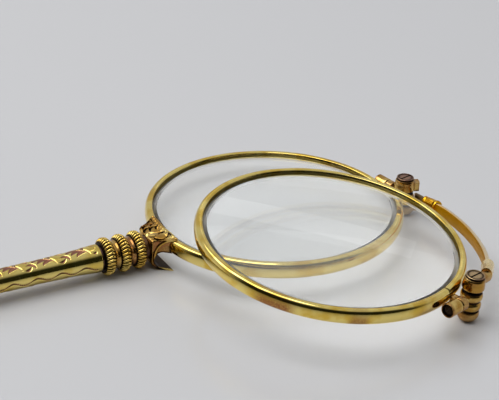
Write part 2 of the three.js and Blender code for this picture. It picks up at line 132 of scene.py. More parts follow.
# ---- frames, in millimetres from the back lens centre ----
lens_low, lens_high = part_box("back_lens")
BACK_CENTRE = Vector((
    (lens_low.x + lens_high.x) / 2,
    (lens_low.y + lens_high.y) / 2,
    RIM_PLANE * MM,
))


def turn(degrees, axis="Z"):
    return Matrix.Rotation(math.radians(degrees), 4, axis)


def shift(x, y, z):
    return Matrix.Translation((x, y, z))


def polar(radius, degrees):
    angle = math.radians(degrees)
    return radius * math.cos(angle), radius * math.sin(angle)


def aim(origin, direction):
    """A frame at a point whose Z runs along a direction."""
    return shift(*origin) @ Vector(direction).to_track_quat("Z", "Y").to_matrix().to_4x4()


def towards(azimuth, elevation):
    """The unit vector in a direction given by two angles."""
    flat, up = polar(1, elevation)
    return Vector((*polar(flat, azimuth), up))


BACK_HINGE = HALF_OPEN - HANDLE_TURN
BACK_RIM = turn(BACK_HINGE)
STEM = shift(0, 0, -STEM_DROP) @ turn(-90, "Y")
BRIDGE_TURN = 90 - HANDLE_TURN - BRIDGE_FOLD
CHORD = 2 * HINGE_R * math.cos(math.radians(HALF_OPEN))
back_pin = Vector((*polar(HINGE_R, BACK_HINGE), 0))
front_pin = back_pin + Vector((*polar(CHORD, BRIDGE_TURN - 90), 0))
BRIDGE = shift(*back_pin) @ turn(BRIDGE_TURN)
UP = Vector((0, 0, 1))
pin_axis = Vector((*PIN_LEAN, 1)).normalized()
FRONT_FORK = shift(*front_pin) @ UP.rotation_difference(pin_axis).to_matrix().to_4x4() @ turn(BRIDGE_TURN)


def front_rim_frame():
    """X points at the hinge and lies in the leaning rim plane, Z is the rim's normal."""
    normal = Vector((*FRONT_LEAN, 1)).normalized()
    direction = BRIDGE_TURN - 90 - HALF_OPEN - FRONT_FOLD
    x_axis = Vector((*polar(-1, direction), 0))
    x_axis -= normal * x_axis.dot(normal)
    x_axis.normalize()
    y_axis = normal.cross(x_axis)
    axes = Matrix((x_axis, y_axis, normal)).transposed().to_4x4()
    centre = front_pin - x_axis * HINGE_R + normal * FRONT_RISE
    return shift(*centre) @ axes


FRONT_RIM = front_rim_frame()
front_pin_in_rim = (FRONT_RIM.to_3x3().inverted() @ pin_axis).normalized()


# ---- mesh tools ----
class Shell:
    """Vertices in millimetres as an (n, 3) array, with faces as tuples of indices."""

    def __init__(self, points, faces):
        self.points = np.asarray(points, float).reshape(-1, 3)
        self.faces = faces

    def moved(self, matrix):
        m = np.array(matrix)
        return Shell(self.points @ m[:3, :3].T + m[:3, 3], self.faces)


def joined(shells):
    points = []
    faces = []
    count = 0
    for shell in shells:
        points.append(shell.points)
        faces += [tuple(i + count for i in face) for face in shell.faces]
        count += len(shell.points)
    return Shell(np.concatenate(points), faces)


def loft(rows, closed=False):
    """A skin over rings of points. Its ends are capped, unless the last ring meets the first."""
    rows = np.asarray(rows, float)
    count, around = rows.shape[:2]
    faces = []
    for i in range(count if closed else count - 1):
        here, there = i * around, (i + 1) % count * around
        for k in range(around):
            after = (k + 1) % around
            faces.append((here + k, here + after, there + after, there + k))
    if not closed:
        faces.append(tuple(range(around))[::-1])
        faces.append(tuple((count - 1) * around + k for k in range(around)))
    return Shell(rows.reshape(-1, 3), faces)


def rounded(profile, radius, closed=False, steps=4):
    """The profile with each corner turned into a small arc."""
    points = [np.array(p, float) for p in profile]
    last = len(points) - 1
    out = []
    for i, corner in enumerate(points):
        if not closed and i in (0, last):
            out.append(corner)
            continue
        before = points[i - 1] - corner
        after = points[(i + 1) % len(points)] - corner
        reach = min(radius, np.linalg.norm(before) * 0.45, np.linalg.norm(after) * 0.45)
        start = corner + before / np.linalg.norm(before) * reach
        end = corner + after / np.linalg.norm(after) * reach
        for k in range(steps + 1):
            t = k / steps
            out.append((1 - t) ** 2 * start + 2 * t * (1 - t) * corner + t * t * end)
    return out


def full_turn(count):
    return np.linspace(0, math.tau, count, endpoint=False)


def unit_ring(angles):
    return np.stack([np.cos(angles), np.sin(angles), np.zeros(len(angles))], 1)


def oval(centre, across, up, count):
    return [(centre + across * math.cos(a), up * math.sin(a)) for a in full_turn(count)]


def half_oval(centre, across, up, count):
    """The outer half of an oval, from its lowest point to its highest."""
    return [(centre + across * math.cos(a), up * math.sin(a))
            for a in np.linspace(-math.pi / 2, math.pi / 2, count)]


def lathe(profile, segments=96, closed=False, radius=0.0):
    """A turned piece about Z from [radius, height] points, on the axis at both ends or closed."""
    points = np.array(rounded(profile, radius, closed) if radius else profile, float)
    ring = unit_ring(full_turn(segments))
    return loft([ring * r + np.array([0, 0, z]) for r, z in points], closed)


def slab(corners, low, high):
    """A plate: an outline in X and Y from a low to a high Z."""
    flat = [(x, y, 0) for x, y in corners]
    rows = np.array([flat, flat], float)
    rows[0, :, 2] = low
    rows[1, :, 2] = high
    return loft(rows)


def rod(radius, low, high, segments=48):
    return lathe([(0, low), (radius, low), (radius, high), (0, high)], segments)


def brick(half_x, half_y, low, high):
    return slab([(-half_x, -half_y), (half_x, -half_y), (half_x, half_y), (-half_x, half_y)], low, high)


def beam(start, end, width, height, power=4.0, taper=1.0):
    """A bar with a rounded section between two points. The far end is taper times as thick."""
    sides = 32
    start, end = Vector(start), Vector(end)
    along = (end - start).normalized()
    across = UP.cross(along)
    if across.length < 1e-3:
        across = Vector((0, 1, 0))
    across.normalize()
    above = along.cross(across)
    rows = []
    for t in np.linspace(0, 1, 9):
        size = 1 + (taper - 1) * t
        centre = start.lerp(end, t)
        row = []
        for k in range(sides):
            a = math.tau * k / sides
            c, s = math.cos(a), math.sin(a)
            u = math.copysign(abs(c) ** (2 / power), c) * width / 2 * size
            v = math.copysign(abs(s) ** (2 / power), s) * height / 2 * size
            row.append(centre + across * u + above * v)
        rows.append(row)
    return loft(rows)


def ball(centre, radius, sides=20):
    return lathe(half_oval(0, radius, radius, sides // 2 + 1), sides).moved(shift(*centre))


def mesh_of(name, shell, matrix):
    """A closed mesh in metres in the row frame, with merged points and faces that point out."""
    placed = shell.moved(matrix)
    mesh = bpy.data.meshes.new(name)
    mesh.from_pydata((placed.points * MM + np.array(BACK_CENTRE)).tolist(), [], placed.faces)
    work = bmesh.new()
    work.from_mesh(mesh)
    bmesh.ops.remove_doubles(work, verts=work.verts, dist=1e-7)
    bmesh.ops.dissolve_degenerate(work, edges=work.edges, dist=1e-8)
    bmesh.ops.recalc_face_normals(work, faces=work.faces)
    work.to_mesh(mesh)
    work.free()
    return mesh


def smooth(mesh, angle=35):
    mesh.shade_smooth()
    mesh.set_sharp_from_angle(angle=math.radians(angle))


def vectors(mesh, kind="co"):
    """Where the vertices are or, with "normal", where they face, as an (n, 3) array."""
    values = np.empty(len(mesh.vertices) * 3)
    mesh.vertices.foreach_get(kind, values)
    return values.reshape(-1, 3)


def paint(mesh, name, values):
    """Gives every vertex its value, for the materials to read."""
    attribute = mesh.attributes.get(name) or mesh.attributes.new(name, "FLOAT", "POINT")
    attribute.data.foreach_set("value", np.asarray(values, np.float32))


def neighbour_means(mesh, values, rounds):
    """Values averaged with those of the neighbouring vertices, several times over."""
    edges = np.empty(len(mesh.edges) * 2, int)
    mesh.edges.foreach_get("vertices", edges)
    a, b = edges.reshape(-1, 2).T
    count = len(mesh.vertices)
    degree = np.maximum(np.bincount(a, minlength=count) + np.bincount(b, minlength=count), 1)
    for _ in range(rounds):
        columns = []
        for column in values.T:
            total = np.bincount(a, column[b], count) + np.bincount(b, column[a], count)
            columns.append((column + total / degree) / 2)
        values = np.stack(columns, 1)
    return values


def hollows(mesh, rounds=24):
    """Marks where the surface is hollow, 0 to 1, so that tarnish can gather there."""
    co = vectors(mesh)
    offset = neighbour_means(mesh, co, rounds) - co
    inward = (offset * vectors(mesh, "normal")).sum(1) / (HOLLOW_DEPTH * MM)
    return unit(inward)


def local(mesh, matrix):
    """The mesh's points in millimetres in a frame."""
    m = np.array(matrix.inverted())
    return (vectors(mesh) - np.array(BACK_CENTRE)) / MM @ m[:3, :3].T + m[:3, 3]


def from_axis(points):
    return np.hypot(points[:, 0], points[:, 1])


def unit(values):
    return np.clip(values, 0, 1)


def soft_step(values, start, end):
    t = unit((values - start) / (end - start))
    return t * t * (3 - 2 * t)


def spot(points, centre, radius):
    """1 at a centre, fading to 0 at a radius."""
    return 1 - soft_step(np.linalg.norm(points - np.array(centre), axis=1), radius * 0.35, radius)


def linked(name, data):
    obj = bpy.data.objects.new(name, data)
    bpy.context.scene.collection.objects.link(obj)
    return obj


def keep(mesh, node_name, body, slot, *materials, ending="_fine"):
    """The finished piece: an object with its mesh, riding on a body and standing for its CAD node."""
    obj = linked(node_name + ending, mesh)
    for material in materials:
        mesh.materials.append(material)
    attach(obj, body)
    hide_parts(node_name)
    return obj


def build(name, shell, matrix, body, slot, material, angle=35):
    mesh = mesh_of(name, shell, matrix)
    smooth(mesh, angle)
    paint(mesh, "hollow", hollows(mesh, 6))
    return keep(mesh, name, body, slot, material)


def modify(obj, kind, **settings):
    """Applies one modifier to an object."""
    modifier = obj.modifiers.new(kind, kind)
    for key, value in settings.items():
        setattr(modifier, key, value)
    bpy.context.view_layer.update()
    mesh = bpy.data.meshes.new_from_object(obj.evaluated_get(bpy.context.evaluated_depsgraph_get()))
    obj.modifiers.clear()
    obj.data = mesh


def freed(obj):
    """The mesh of an object, which is removed."""
    mesh = obj.data
    bpy.data.objects.remove(obj)
    return mesh


def cut_away(obj, shells, matrix, operation="DIFFERENCE"):
    for shell in shells:
        cutter = linked("cutter", mesh_of("cutter", shell, matrix))
        modify(obj, "BOOLEAN", operation=operation, object=cutter, solver="EXACT")
        bpy.data.objects.remove(cutter)


def melt(obj, rounds):
    """Turns overlapping shells into one skin and softens its inside corners."""
    modify(obj, "REMESH", mode="VOXEL", voxel_size=VOXEL * MM, adaptivity=0)
    modify(obj, "SMOOTH", factor=0.5, iterations=rounds)


def cast(name, shells, matrix, cutters=(), after=(), rounds=3):
    """A casting of shells, with cuts before and after they are melted together."""
    obj = linked(name, mesh_of(name, joined(shells), matrix))
    cut_away(obj, cutters, matrix)
    melt(obj, rounds)
    cut_away(obj, after, matrix)
    mesh = freed(obj)
    smooth(mesh, 40)
    paint(mesh, "hollow", hollows(mesh))
    return mesh


def slotted(name, head, slot, matrix):
    """A screw head with a slot cut across it."""
    obj = linked(name, mesh_of(name, head, matrix))
    cut_away(obj, [slot], matrix)
    mesh = freed(obj)
    smooth(mesh)
    return mesh


# ---- carved lines: each stroke is a bent leaf-shaped cut ----
def stroke(start, end, bend, width, depth):
    """Centre line, half-widths and depth of a cut from start to end, bowed sideways by bend."""
    start, end = np.array(start, float), np.array(end, float)
    t = np.linspace(0, 1, 9)[:, None]
    side = np.array([start[1] - end[1], end[0] - start[0]])
    line = start + (end - start) * t + side * bend * 4 * t * (1 - t)
    widths = width * np.sin(np.pi * unit(t[:, 0] * 0.9 + 0.07)) ** 0.8
    return line, widths, depth


def carved(points, strokes, period=None):
    """How deep the strokes cut at each (u, v) point. With a period they repeat along u."""
    depth = np.zeros(len(points))
    for line, widths, deep in strokes:
        middle = line[:, 0].mean()
        u = points[:, 0].copy()
        if period:
            u = (u - middle + period / 2) % period - period / 2 + middle
        here = np.stack([u, points[:, 1]], 1)
        for k in range(len(line) - 1):
            a, run = line[k], line[k + 1] - line[k]
            t = unit(((here - a) @ run) / (run @ run))
            distance = np.linalg.norm(here - a - t[:, None] * run, axis=1)
            width = np.maximum(widths[k] + (widths[k + 1] - widths[k]) * t, 1e-6)
            depth = np.maximum(depth, deep * unit(1 - (distance / width) ** 2))
    return depth


# ---- materials ----
def node(tree, kind, **settings):
    made = tree.nodes.new("ShaderNode" + kind)
    for key, value in settings.items():
        if hasattr(made, key):
            setattr(made, key, value)
        else:
            made.inputs[key].default_value = value
    return made


def blend_colours(tree, factor, low, high):
    """A colour mix. Each side is a fixed colour or a socket."""
    mix = node(tree, "Mix", data_type="RGBA")
    tree.links.new(factor, mix.inputs[0])
    for socket, colour in ((mix.inputs[6], low), (mix.inputs[7], high)):
        if isinstance(colour, tuple):
            socket.default_value = (*colour, 1)
        else:
            tree.links.new(colour, socket)
    return mix.outputs[2]


def ranged(tree, value, from_low, from_high, to_low=0.0, to_high=1.0):
    scale = node(tree, "MapRange", interpolation_type="SMOOTHSTEP")
    tree.links.new(value, scale.inputs[0])
    for socket, number in zip(scale.inputs[1:5], (from_low, from_high, to_low, to_high)):
        socket.default_value = number
    return scale.outputs[0]


def combined(tree, operation, first, second):
    made = node(tree, "Math", operation=operation)
    for socket, value in zip(made.inputs, (first, second)):
        if isinstance(value, (int, float)):
            socket.default_value = value
        else:
            tree.links.new(value, socket)
    return made.outputs[0]


def noise(tree, coordinate, per_mm, detail=3.0, stretch=(1, 1, 1)):
    """Noise with a few cells per millimetre, stretched along an axis for brushed or worn marks."""
    mapping = node(tree, "Mapping")
    mapping.inputs["Scale"].default_value = tuple(s * per_mm / MM for s in stretch)
    tree.links.new(coordinate, mapping.inputs["Vector"])
    made = node(tree, "TexNoise", Scale=1.0, Detail=detail)
    tree.links.new(mapping.outputs[0], made.inputs["Vector"])
    return made.outputs[0]


# Copper colour of the stains, also used as painted shade where a piece paints shade into the staining mark.
COPPER_STAIN_AND_SHADE = (0.33, 0.135, 0.05)


def new_material(name):
    """A material with its node tree and its shader."""
    material = bpy.data.materials.new(name)
    material.use_nodes = True
    return material, material.node_tree, material.node_tree.nodes["Principled BSDF"]


def gold(name, bright, warm, tarnish, roughness, worn=0.5, dirt_and_shade=1.0):
    """Polished gold: blotches of warmer gold, dark tarnish in hollows, copper stains, fine marks. Some
    pieces also paint shade into the hollow and staining marks; there the tarnish and copper colours are
    painted shade.
    """
    material, tree, shader = new_material(name)
    link = tree.links.new
    shader.inputs["Metallic"].default_value = 1.0
    place = node(tree, "TexCoord").outputs["Object"]
    broad = noise(tree, place, 0.32, 4)
    grain = noise(tree, place, 5.5, 4)
    marks = noise(tree, place, 2.2, 2, (1, 6, 6))
    hollow = node(tree, "Attribute", attribute_name="hollow").outputs["Fac"]
    stain_and_shade = node(tree, "Attribute", attribute_name="stain_and_shade").outputs["Fac"]
    patch = ranged(tree, broad, 0.5 - worn * 0.12, 0.72 - worn * 0.12)
    colour = blend_colours(tree, patch, bright, warm)
    spots = ranged(tree, grain, 0.45, 0.75, 0.25, 0.75)
    stained_and_shaded = combined(tree, "MULTIPLY", stain_and_shade, ranged(tree, grain, 0.25, 0.55, 0.45, 1.0))
    colour = blend_colours(tree, stained_and_shaded, colour, COPPER_STAIN_AND_SHADE)
    # Tarnish in hollows and spots; on some pieces the hollow mark is painted shade between parts, in
    # recesses and on shaded faces.
    dark = ranged(tree, combined(tree, "ADD", hollow, combined(tree, "MULTIPLY", spots, 0.18)),
                  0.22, 0.85, 0.0, dirt_and_shade)
    colour = blend_colours(tree, dark, colour, tarnish)
    link(colour, shader.inputs["Base Color"])
    smear = ranged(tree, marks, 0.3, 0.8, roughness * 0.75, roughness * 1.5)
    link(combined(tree, "ADD", smear, combined(tree, "MULTIPLY", dark, 0.3)), shader.inputs["Roughness"])
    relief = node(tree, "Bump", Strength=0.02, Distance=0.05 * MM)
    link(grain, relief.inputs["Height"])
    link(relief.outputs[0], shader.inputs["Normal"])
    return material


def glass(name, tint, roughness):
    """Clear lens glass. Light from lamps passes straight through it."""
    material, tree, shader = new_material(name)
    link = tree.links.new
    shader.inputs["Base Color"].default_value = (*tint, 1)
    shader.inputs["Transmission Weight"].default_value = 1.0
    shader.inputs["IOR"].default_value = 1.5
    place = node(tree, "TexCoord").outputs["Object"]
    smudge = noise(tree, place, 0.12, 3)
    link(ranged(tree, smudge, 0.35, 0.8, roughness, roughness + 0.02), shader.inputs["Roughness"])
    clear = node(tree, "BsdfTransparent")
    rays = node(tree, "LightPath")
    mix = node(tree, "MixShader")
    link(rays.outputs["Is Shadow Ray"], mix.inputs[0])
    link(shader.outputs[0], mix.inputs[1])
    link(clear.outputs[0], mix.inputs[2])
    link(mix.outputs[0], tree.nodes["Material Output"].inputs["Surface"])
    return material


# Near-black: the deepest painted shade on the narrow collars.
COLLAR_SHADE_BLACK = (0.05, 0.032, 0.018)
GOLD = gold("polished_gold", (0.89, 0.7, 0.22), (0.76, 0.51, 0.08), (0.13, 0.065, 0.02), 0.11, 0.6, 0.8)
CASTING = gold("casting_gold", (0.86, 0.65, 0.22), (0.48, 0.26, 0.05), (0.035, 0.018, 0.01), 0.17, 1.2)
ENGRAVED = gold("engraved_gold", (0.88, 0.7, 0.22), (0.76, 0.53, 0.1), (0.3, 0.13, 0.08), 0.12, 0.4)
ROPE_GOLD = gold("rope_gold", (0.9, 0.65, 0.17), (0.78, 0.48, 0.08), (0.03, 0.018, 0.01), 0.17, 0.8)
# Dark gold that is painted shade: the narrow neck and tube collar sunk between the rings.
SHADED_COLLAR_GOLD = gold("collar_shade_gold", (0.2, 0.11, 0.055), (0.09, 0.05, 0.045), COLLAR_SHADE_BLACK, 0.34, 0.9)
# Its orange-brown third colour is painted shade and warm reflection on the band's inner face.
BAND_GOLD = gold("band_gold", (0.9, 0.72, 0.44), (0.85, 0.6, 0.3), (0.6, 0.3, 0.0), 0.16, 0.3)
# The back sleeve's copy of the sleeve metal, orange and dark amber: painted warm reflection and shade.
AMBER_REFLECTION_SHADE_GOLD = gold("amber_reflection_and_shade_gold", (0.8, 0.45, 0.03), (0.6, 0.3, 0.01), (0.2, 0.09, 0.01), 0.18, 0.5)
CREAM_GOLD = gold("ferrule_gold", (0.93, 0.76, 0.44), (0.83, 0.6, 0.26), (0.22, 0.12, 0.05), 0.22, 0.4)
STEEL = gold("screw_metal", (0.56, 0.39, 0.2), (0.3, 0.15, 0.1), (0.04, 0.022, 0.012), 0.2, 0.9)
LENS_GLASS = glass("lens_glass", (0.975, 0.985, 0.98), 0.0)
GROUND_GLASS = glass("ground_glass", (0.92, 0.93, 0.93), 0.3)


# ---- rims and lenses ----
def block_point(distance, side, z):
    x, y = polar(BLOCK_R, BLOCK_ANGLE)
    dx, dy = polar(distance, 90 - BLOCK_SKEW)
    return Vector((x + dx, side * (y - dy), z))


def block_axis(side):
    return block_point(1, side, 0) - block_point(0, side, 0)


SEAM_AT = BARREL_LENGTH + BARREL_SEAM / 2


def rim_bow(count, room=0.0):
    """The rim's round outside, with room around it."""
    return half_oval(RIM_R - RIM_ROUND, RIM_ROUND + room, RIM_HEIGHT / 2 + room, count)


def rim_shell(side):
    """A D-section ring with a gap where it closes, and faint unevenness of hand work."""
    inner = RIM_R - RIM_WIDTH
    half = RIM_HEIGHT / 2
    lip = 0.14
    section = np.array([
        (inner, half - lip), (inner, 0), (inner, lip - half),
        (inner + lip * 0.3, lip * 0.3 - half), (inner + lip, -half), *rim_bow(21),
        (inner + lip, half), (inner + lip * 0.3, half - lip * 0.3),
    ])
    seam = block_point(SEAM_AT, side, 0)
    opening = math.atan2(seam.y, seam.x)
    gap = SLIT / 2 / RIM_R
    rows = []
    for a in np.linspace(opening + gap, opening + math.tau - gap, 360):
        wave = 0.006 * math.sin(5 * a + side) + 0.004 * math.sin(13 * a)
        radius = section[:, 0] - abs(wave)
        height = section[:, 1] * (1 - abs(wave))
        rows.append(np.stack([radius * math.cos(a), radius * math.sin(a), height], 1))
    return loft(rows)


def rim_space():
    """The room that a rim takes, for cutting pieces that sit on it."""
    half = RIM_HEIGHT / 2 + FIT
    return lathe([(0, -half), *rim_bow(17, FIT), (0, half)], 240)


# Copper stains along the rims: (angle, reach, strength), in degrees from the hinge, for each rim.
STAINS = {1: ((40, 9, 0.6), (150, 12, 0.45)), -1: ((-92, 11, 1.0), (-58, 5, 0.8), (-25, 9, 0.45))}


def rim(name, side, matrix, body):
    obj = build(name, rim_shell(side), matrix, body, "gold", GOLD, 50)
    points = local(obj.data, matrix)
    angle = np.degrees(np.arctan2(points[:, 1], points[:, 0]))
    stain_and_shade = 0 * angle
    for place, reach, strength in STAINS[side]:
        gap = np.abs((angle - place + 180) % 360 - 180)
        stain_and_shade += strength * (1 - soft_step(gap, reach * 0.4, reach))
    low_side = 0.35 + 0.65 * (1 - soft_step(points[:, 2], -0.3, 0.8))
    paint(obj.data, "stain_and_shade", unit(stain_and_shade * low_side))


def lens(name, matrix, body):
    half = LENS_EDGE / 2
    flat = LENS_R - LENS_BEVEL
    crown = [(flat * t, half + LENS_CROWN * (1 - t * t)) for t in np.linspace(1, 0, 25)]
    back = [(flat * t, -half) for t in np.linspace(0, 1, 9)]
    tip = 0.06
    profile = [*back, (LENS_R - tip, -tip), (LENS_R, 0), (LENS_R - tip, tip), *crown]
    mesh = mesh_of(name, lathe(profile, 240), matrix)
    smooth(mesh, 12)
    keep(mesh, name, body, "lens_glass", LENS_GLASS, GROUND_GLASS, ending="_glass")
    centre = np.array(matrix.translation) * MM + np.array(BACK_CENTRE)
    for face in mesh.polygons:
        away = np.linalg.norm(np.array(face.center) - centre)
        face.material_index = int(away > (flat + tip) * MM)


# ---- closing blocks ----
def closing_barrel(name, side, z, matrix, body):
    """A drilled barrel soldered to the rim, whose solder runs out along the rim in a point."""
    axis = aim(block_point(0, side, z), block_axis(side))
    wall = 0.13
    cup = BARREL_R - wall
    barrel = lathe([
        (0, RECESS), (cup - 0.08, RECESS), (cup, 0), (BARREL_R, 0),
        (BARREL_R, BARREL_LENGTH), (0, BARREL_LENGTH),
    ], radius=0.12).moved(axis)
    deeper = 1.05
    inward = Vector((*polar(-deeper, math.degrees(math.atan2(*block_point(0, side, 0).yx))), 0))
    lug = beam(block_point(0.5, side, z) + inward, block_point(BARREL_LENGTH - 0.1, side, z) + inward * 0.8,
               LUG_WIDTH, LUG_HEIGHT)
    tail_angle = side * (BLOCK_ANGLE + 4.5)
    tail = beam(block_point(0.9, side, z) + inward * 1.1,
                Vector((*polar(RIM_R - 0.35, tail_angle), z * 0.5)), 1.15, 1.35, 2.4, taper=0.2)
    mesh = cast(name, [barrel, lug, tail], matrix, [rim_space()])
    points = local(mesh, matrix @ axis)
    away = from_axis(points)
    # The inside of the drilled cup is painted fully dark as shade in the recess.
    deep = (points[:, 2] > 0.06) & (points[:, 2] < RECESS + 0.1)
    paint(mesh, "hollow", np.maximum(hollows(mesh), (away < cup + 0.02) & deep))
    paint(mesh, "stain_and_shade", 0.7 * (1 - soft_step(points[:, 2], 0.1, 0.6)) * (away < BARREL_R + 0.02))
    keep(mesh, name, body, "worn_gold", CASTING)


def closing_screw(name, side, z, matrix, body):
    axis = aim(block_point(0, side, z), block_axis(side))
    profile = [(0, 0.16), (0.5, 0.18), (0.6, 0.27), (0.6, RECESS - FIT), (0, RECESS - FIT)]
    head = lathe(profile, 64, radius=0.04).moved(axis)
    mesh = slotted(name, head, brick(0.09, 1, 0.05, 0.26).moved(axis @ turn(25)), matrix)
    # The whole head, deep in the barrel's recess, is painted dark as shade.
    paint(mesh, "hollow", np.full(len(mesh.vertices), 0.85))
    keep(mesh, name, body, "steel", STEEL)


# ---- hinges ----
def middle_knuckle():
    low, high = MIDDLE
    return lathe([
        (0, low), (1.36, low), (1.53, low + 0.14), (KNUCKLE_R, low + 0.45), (KNUCKLE_R - 0.02, -0.95),
        (1.5, -0.72), (1.34, -0.55), (1.3, -0.4), (1.34, -0.25), (1.5, -0.1), (KNUCKLE_R - 0.02, 0.1),
        (KNUCKLE_R, 0.4), (1.54, 0.72), (1.4, high - 0.08), (1.3, high), (0, high),
    ], radius=0.1)


def hinge_leaf(name, side, block_z, hinge_z, pin, matrix, body):
    """The short barrel, the arm and the middle knuckle in one casting."""
    at = Vector((HINGE_R, 0, hinge_z))
    axis = aim(at, pin)
    start = SEAM_AT + BARREL_SEAM / 2
    end = start + STUB_LENGTH
    stub = lathe([(0, start), (BARREL_R, start), (BARREL_R, end), (0.45, end + 0.22), (0, end + 0.25)],
                 radius=0.16).moved(aim(block_point(0, side, block_z), block_axis(side)))
    arm = beam(block_point(end - 0.5, side, block_z), at + Vector((0, 0, -hinge_z * 0.2)), 1.35, 1.6, 3)
    inward = Vector((*polar(-1.0, side * 12), 0))
    lug = beam(block_point(start + 0.1, side, block_z) + inward, block_point(end, side, block_z) + inward,
               LUG_WIDTH, LUG_HEIGHT)
    bore = rod(PIN_R + PIN_FIT, -4, 4).moved(axis)
    mesh = cast(name, [middle_knuckle().moved(axis), stub, arm, lug], matrix, [rim_space()], [bore], 2)
    points = local(mesh, matrix @ axis)
    away = from_axis(points)
    # Painted shade: dark rings where the middle knuckle meets its neighbours and in its middle groove.
    shaded_rings = ((MIDDLE[0], 0.16), (-0.4, 0.18), (MIDDLE[1], 0.24))
    rings = sum(spot(points[:, 2:], [height], reach) for height, reach in shaded_rings)
    near_pin = away < KNUCKLE_R + 0.1
    paint(mesh, "hollow", unit(hollows(mesh) + near_pin * rings * 0.9))
    paint(mesh, "stain_and_shade", 0.65 * soft_step(away, 1.5, 2.2))
    keep(mesh, name, body, "worn_gold", CASTING)


def fork(name, side, arm_start, sleeve_end, foot, matrix):
    """Upper and lower knuckle with the strap behind them. The arm runs into the sleeve."""
    top = UPPER[1]
    upper = lathe([
        (0, UPPER[0]), (1.45, UPPER[0]), (1.57, UPPER[0] + 0.1), (KNUCKLE_R, 1.75), (KNUCKLE_R - 0.04, 2.35),
        (1.5, 2.75), (1.5, 3.0), (1.38, top - 0.08), (1.2, top), (0, top),
    ], radius=0.1)
    lower = lathe([
        (0, foot), (0.85, foot), (1.2, foot + 0.22), (1.45, -3.1), (1.58, -2.75), (1.54, -2.2),
        (1.4, LOWER_TOP), (0, LOWER_TOP),
    ], radius=0.14)
    strap_turn = turn(side * STRAP_TURN)
    inside, outside, half_width = 1.78, 2.28, 0.75

    def plate(near, low, high):
        corners = rounded([(near, -half_width), (outside - 0.1, -half_width), (outside, 0),
                           (outside - 0.1, half_width), (near, half_width)], 0.12, closed=True)
        return slab(corners, low, high).moved(strap_turn)

    strap_low, strap_high = STRAP_Z
    arm = beam(arm_start, sleeve_end, 1.45, 1.45, 3)
    shells = [upper, lower, plate(inside, strap_low, strap_high), plate(1.0, UPPER[0] + 0.05, strap_high),
              plate(1.0, strap_low, LOWER_TOP - 0.05), arm]
    room = rod(inside - 0.06, LOWER_TOP, UPPER[0], 96)
    mesh = cast(name, shells, matrix, [room], [rod(PIN_R + PIN_FIT, -3.2, 5)])
    points = local(mesh, matrix)
    height = points[:, 2]
    # Painted shade in the clefts between the knuckles and under the screw head; the strap behind the
    # knuckles is also darker below the top knuckle.
    knuckle_gap_shade = spot(height[:, None], [UPPER[0]], 0.22) + spot(height[:, None], [LOWER_TOP], 0.2)
    shade_under_screw_head = spot(height[:, None], [top], 0.16)
    strap = soft_step(from_axis(points), 1.66, 1.85) * (1 - soft_step(height, 1.5, 2.2)) * 0.55
    paint(mesh, "hollow", unit(hollows(mesh) + 0.8 * knuckle_gap_shade + 0.7 * shade_under_screw_head + strap))
    brown_foot = 0.6 * (1 - soft_step(height, -2.3, -1.7))
    brown_top = 0.5 * soft_step(height, 1.6, 2.9)
    # Painted light: a lit spot near the top where the brown staining is lightened.
    painted_light_spot = spot(points, (0.6, -1.2 * side, 2.1), 1.6)
    paint(mesh, "stain_and_shade", np.clip(brown_foot + brown_top - 0.5 * painted_light_spot, 0, 0.85))
    keep(mesh, name, "bridge", "worn_gold", CASTING)


def pivot_screw(name, matrix):
    """A slotted disc head with a raised edge, on its pin."""
    base = UPPER[1]
    head = [
        (PIN_R, base - 0.3), (PIN_R, base + FIT), (SCREW_HEAD_R - 0.12, base + FIT),
        (SCREW_HEAD_R, base + 0.14), (SCREW_HEAD_R - 0.02, base + 0.27), (SCREW_HEAD_R - 0.12, base + 0.31),
        (SCREW_HEAD_R - 0.28, base + 0.22), (0.5, base + 0.24), (0, base + 0.25),
    ]
    shell = lathe([(0, -3.1), (PIN_R, -3.1), *head], radius=0.05)
    mesh = slotted(name, shell, brick(1.15, 0.13, base + 0.1, base + 1).moved(turn(29)), matrix)
    points = local(mesh, matrix)
    away = from_axis(points)
    # Painted shade on the head's side wall under its raised edge and down in the slot, and a darker ring in
    # the dish inside the edge.
    below_edge = 1 - soft_step(points[:, 2], base + 0.2, base + 0.27)
    shaded_side_wall = soft_step(away, SCREW_HEAD_R - 0.1, SCREW_HEAD_R) * below_edge
    slot_shade = 1 - soft_step(points[:, 2], base + 0.12, base + 0.21)
    dish = 0.7 * spot(away[:, None], [0.95], 0.4)
    paint(mesh, "hollow", unit(shaded_side_wall + slot_shade + dish))
    keep(mesh, name, "bridge", "steel", STEEL)


# ---- bridge ----
def arch_point(degrees):
    c, s = polar(1, degrees)
    power = 2 / ARCH_POWER
    run = math.copysign(abs(c) ** power, c)
    crossed = (1 - run) / 2
    height = BAND_Z[0] + (BAND_Z[1] - BAND_Z[0]) * crossed
    return Vector((ARCH * max(s, 0) ** power, -CHORD * crossed, height))


def arch_angle(distance):
    """The arch's angle at a distance from the back pin."""
    low, high = 0, 90
    for _ in range(40):
        middle = (low + high) / 2
        if arch_point(middle).xy.length < distance:
            low = middle
        else:
            high = middle
    return low


def along_arch(section, start, end, steps):
    """Sweeps a section of (outwards, upwards) points. section(t) may change with t from 0 to 1."""
    rows = []
    small = 0.05
    for t in np.linspace(0, 1, steps + 1):
        angle = start + (end - start) * t
        heading = arch_point(angle + small) - arch_point(angle - small)
        outwards = UP.cross(heading).normalized()
        rows.append([arch_point(angle) + outwards * u + UP * v for u, v in section(t)])
    return loft(rows)


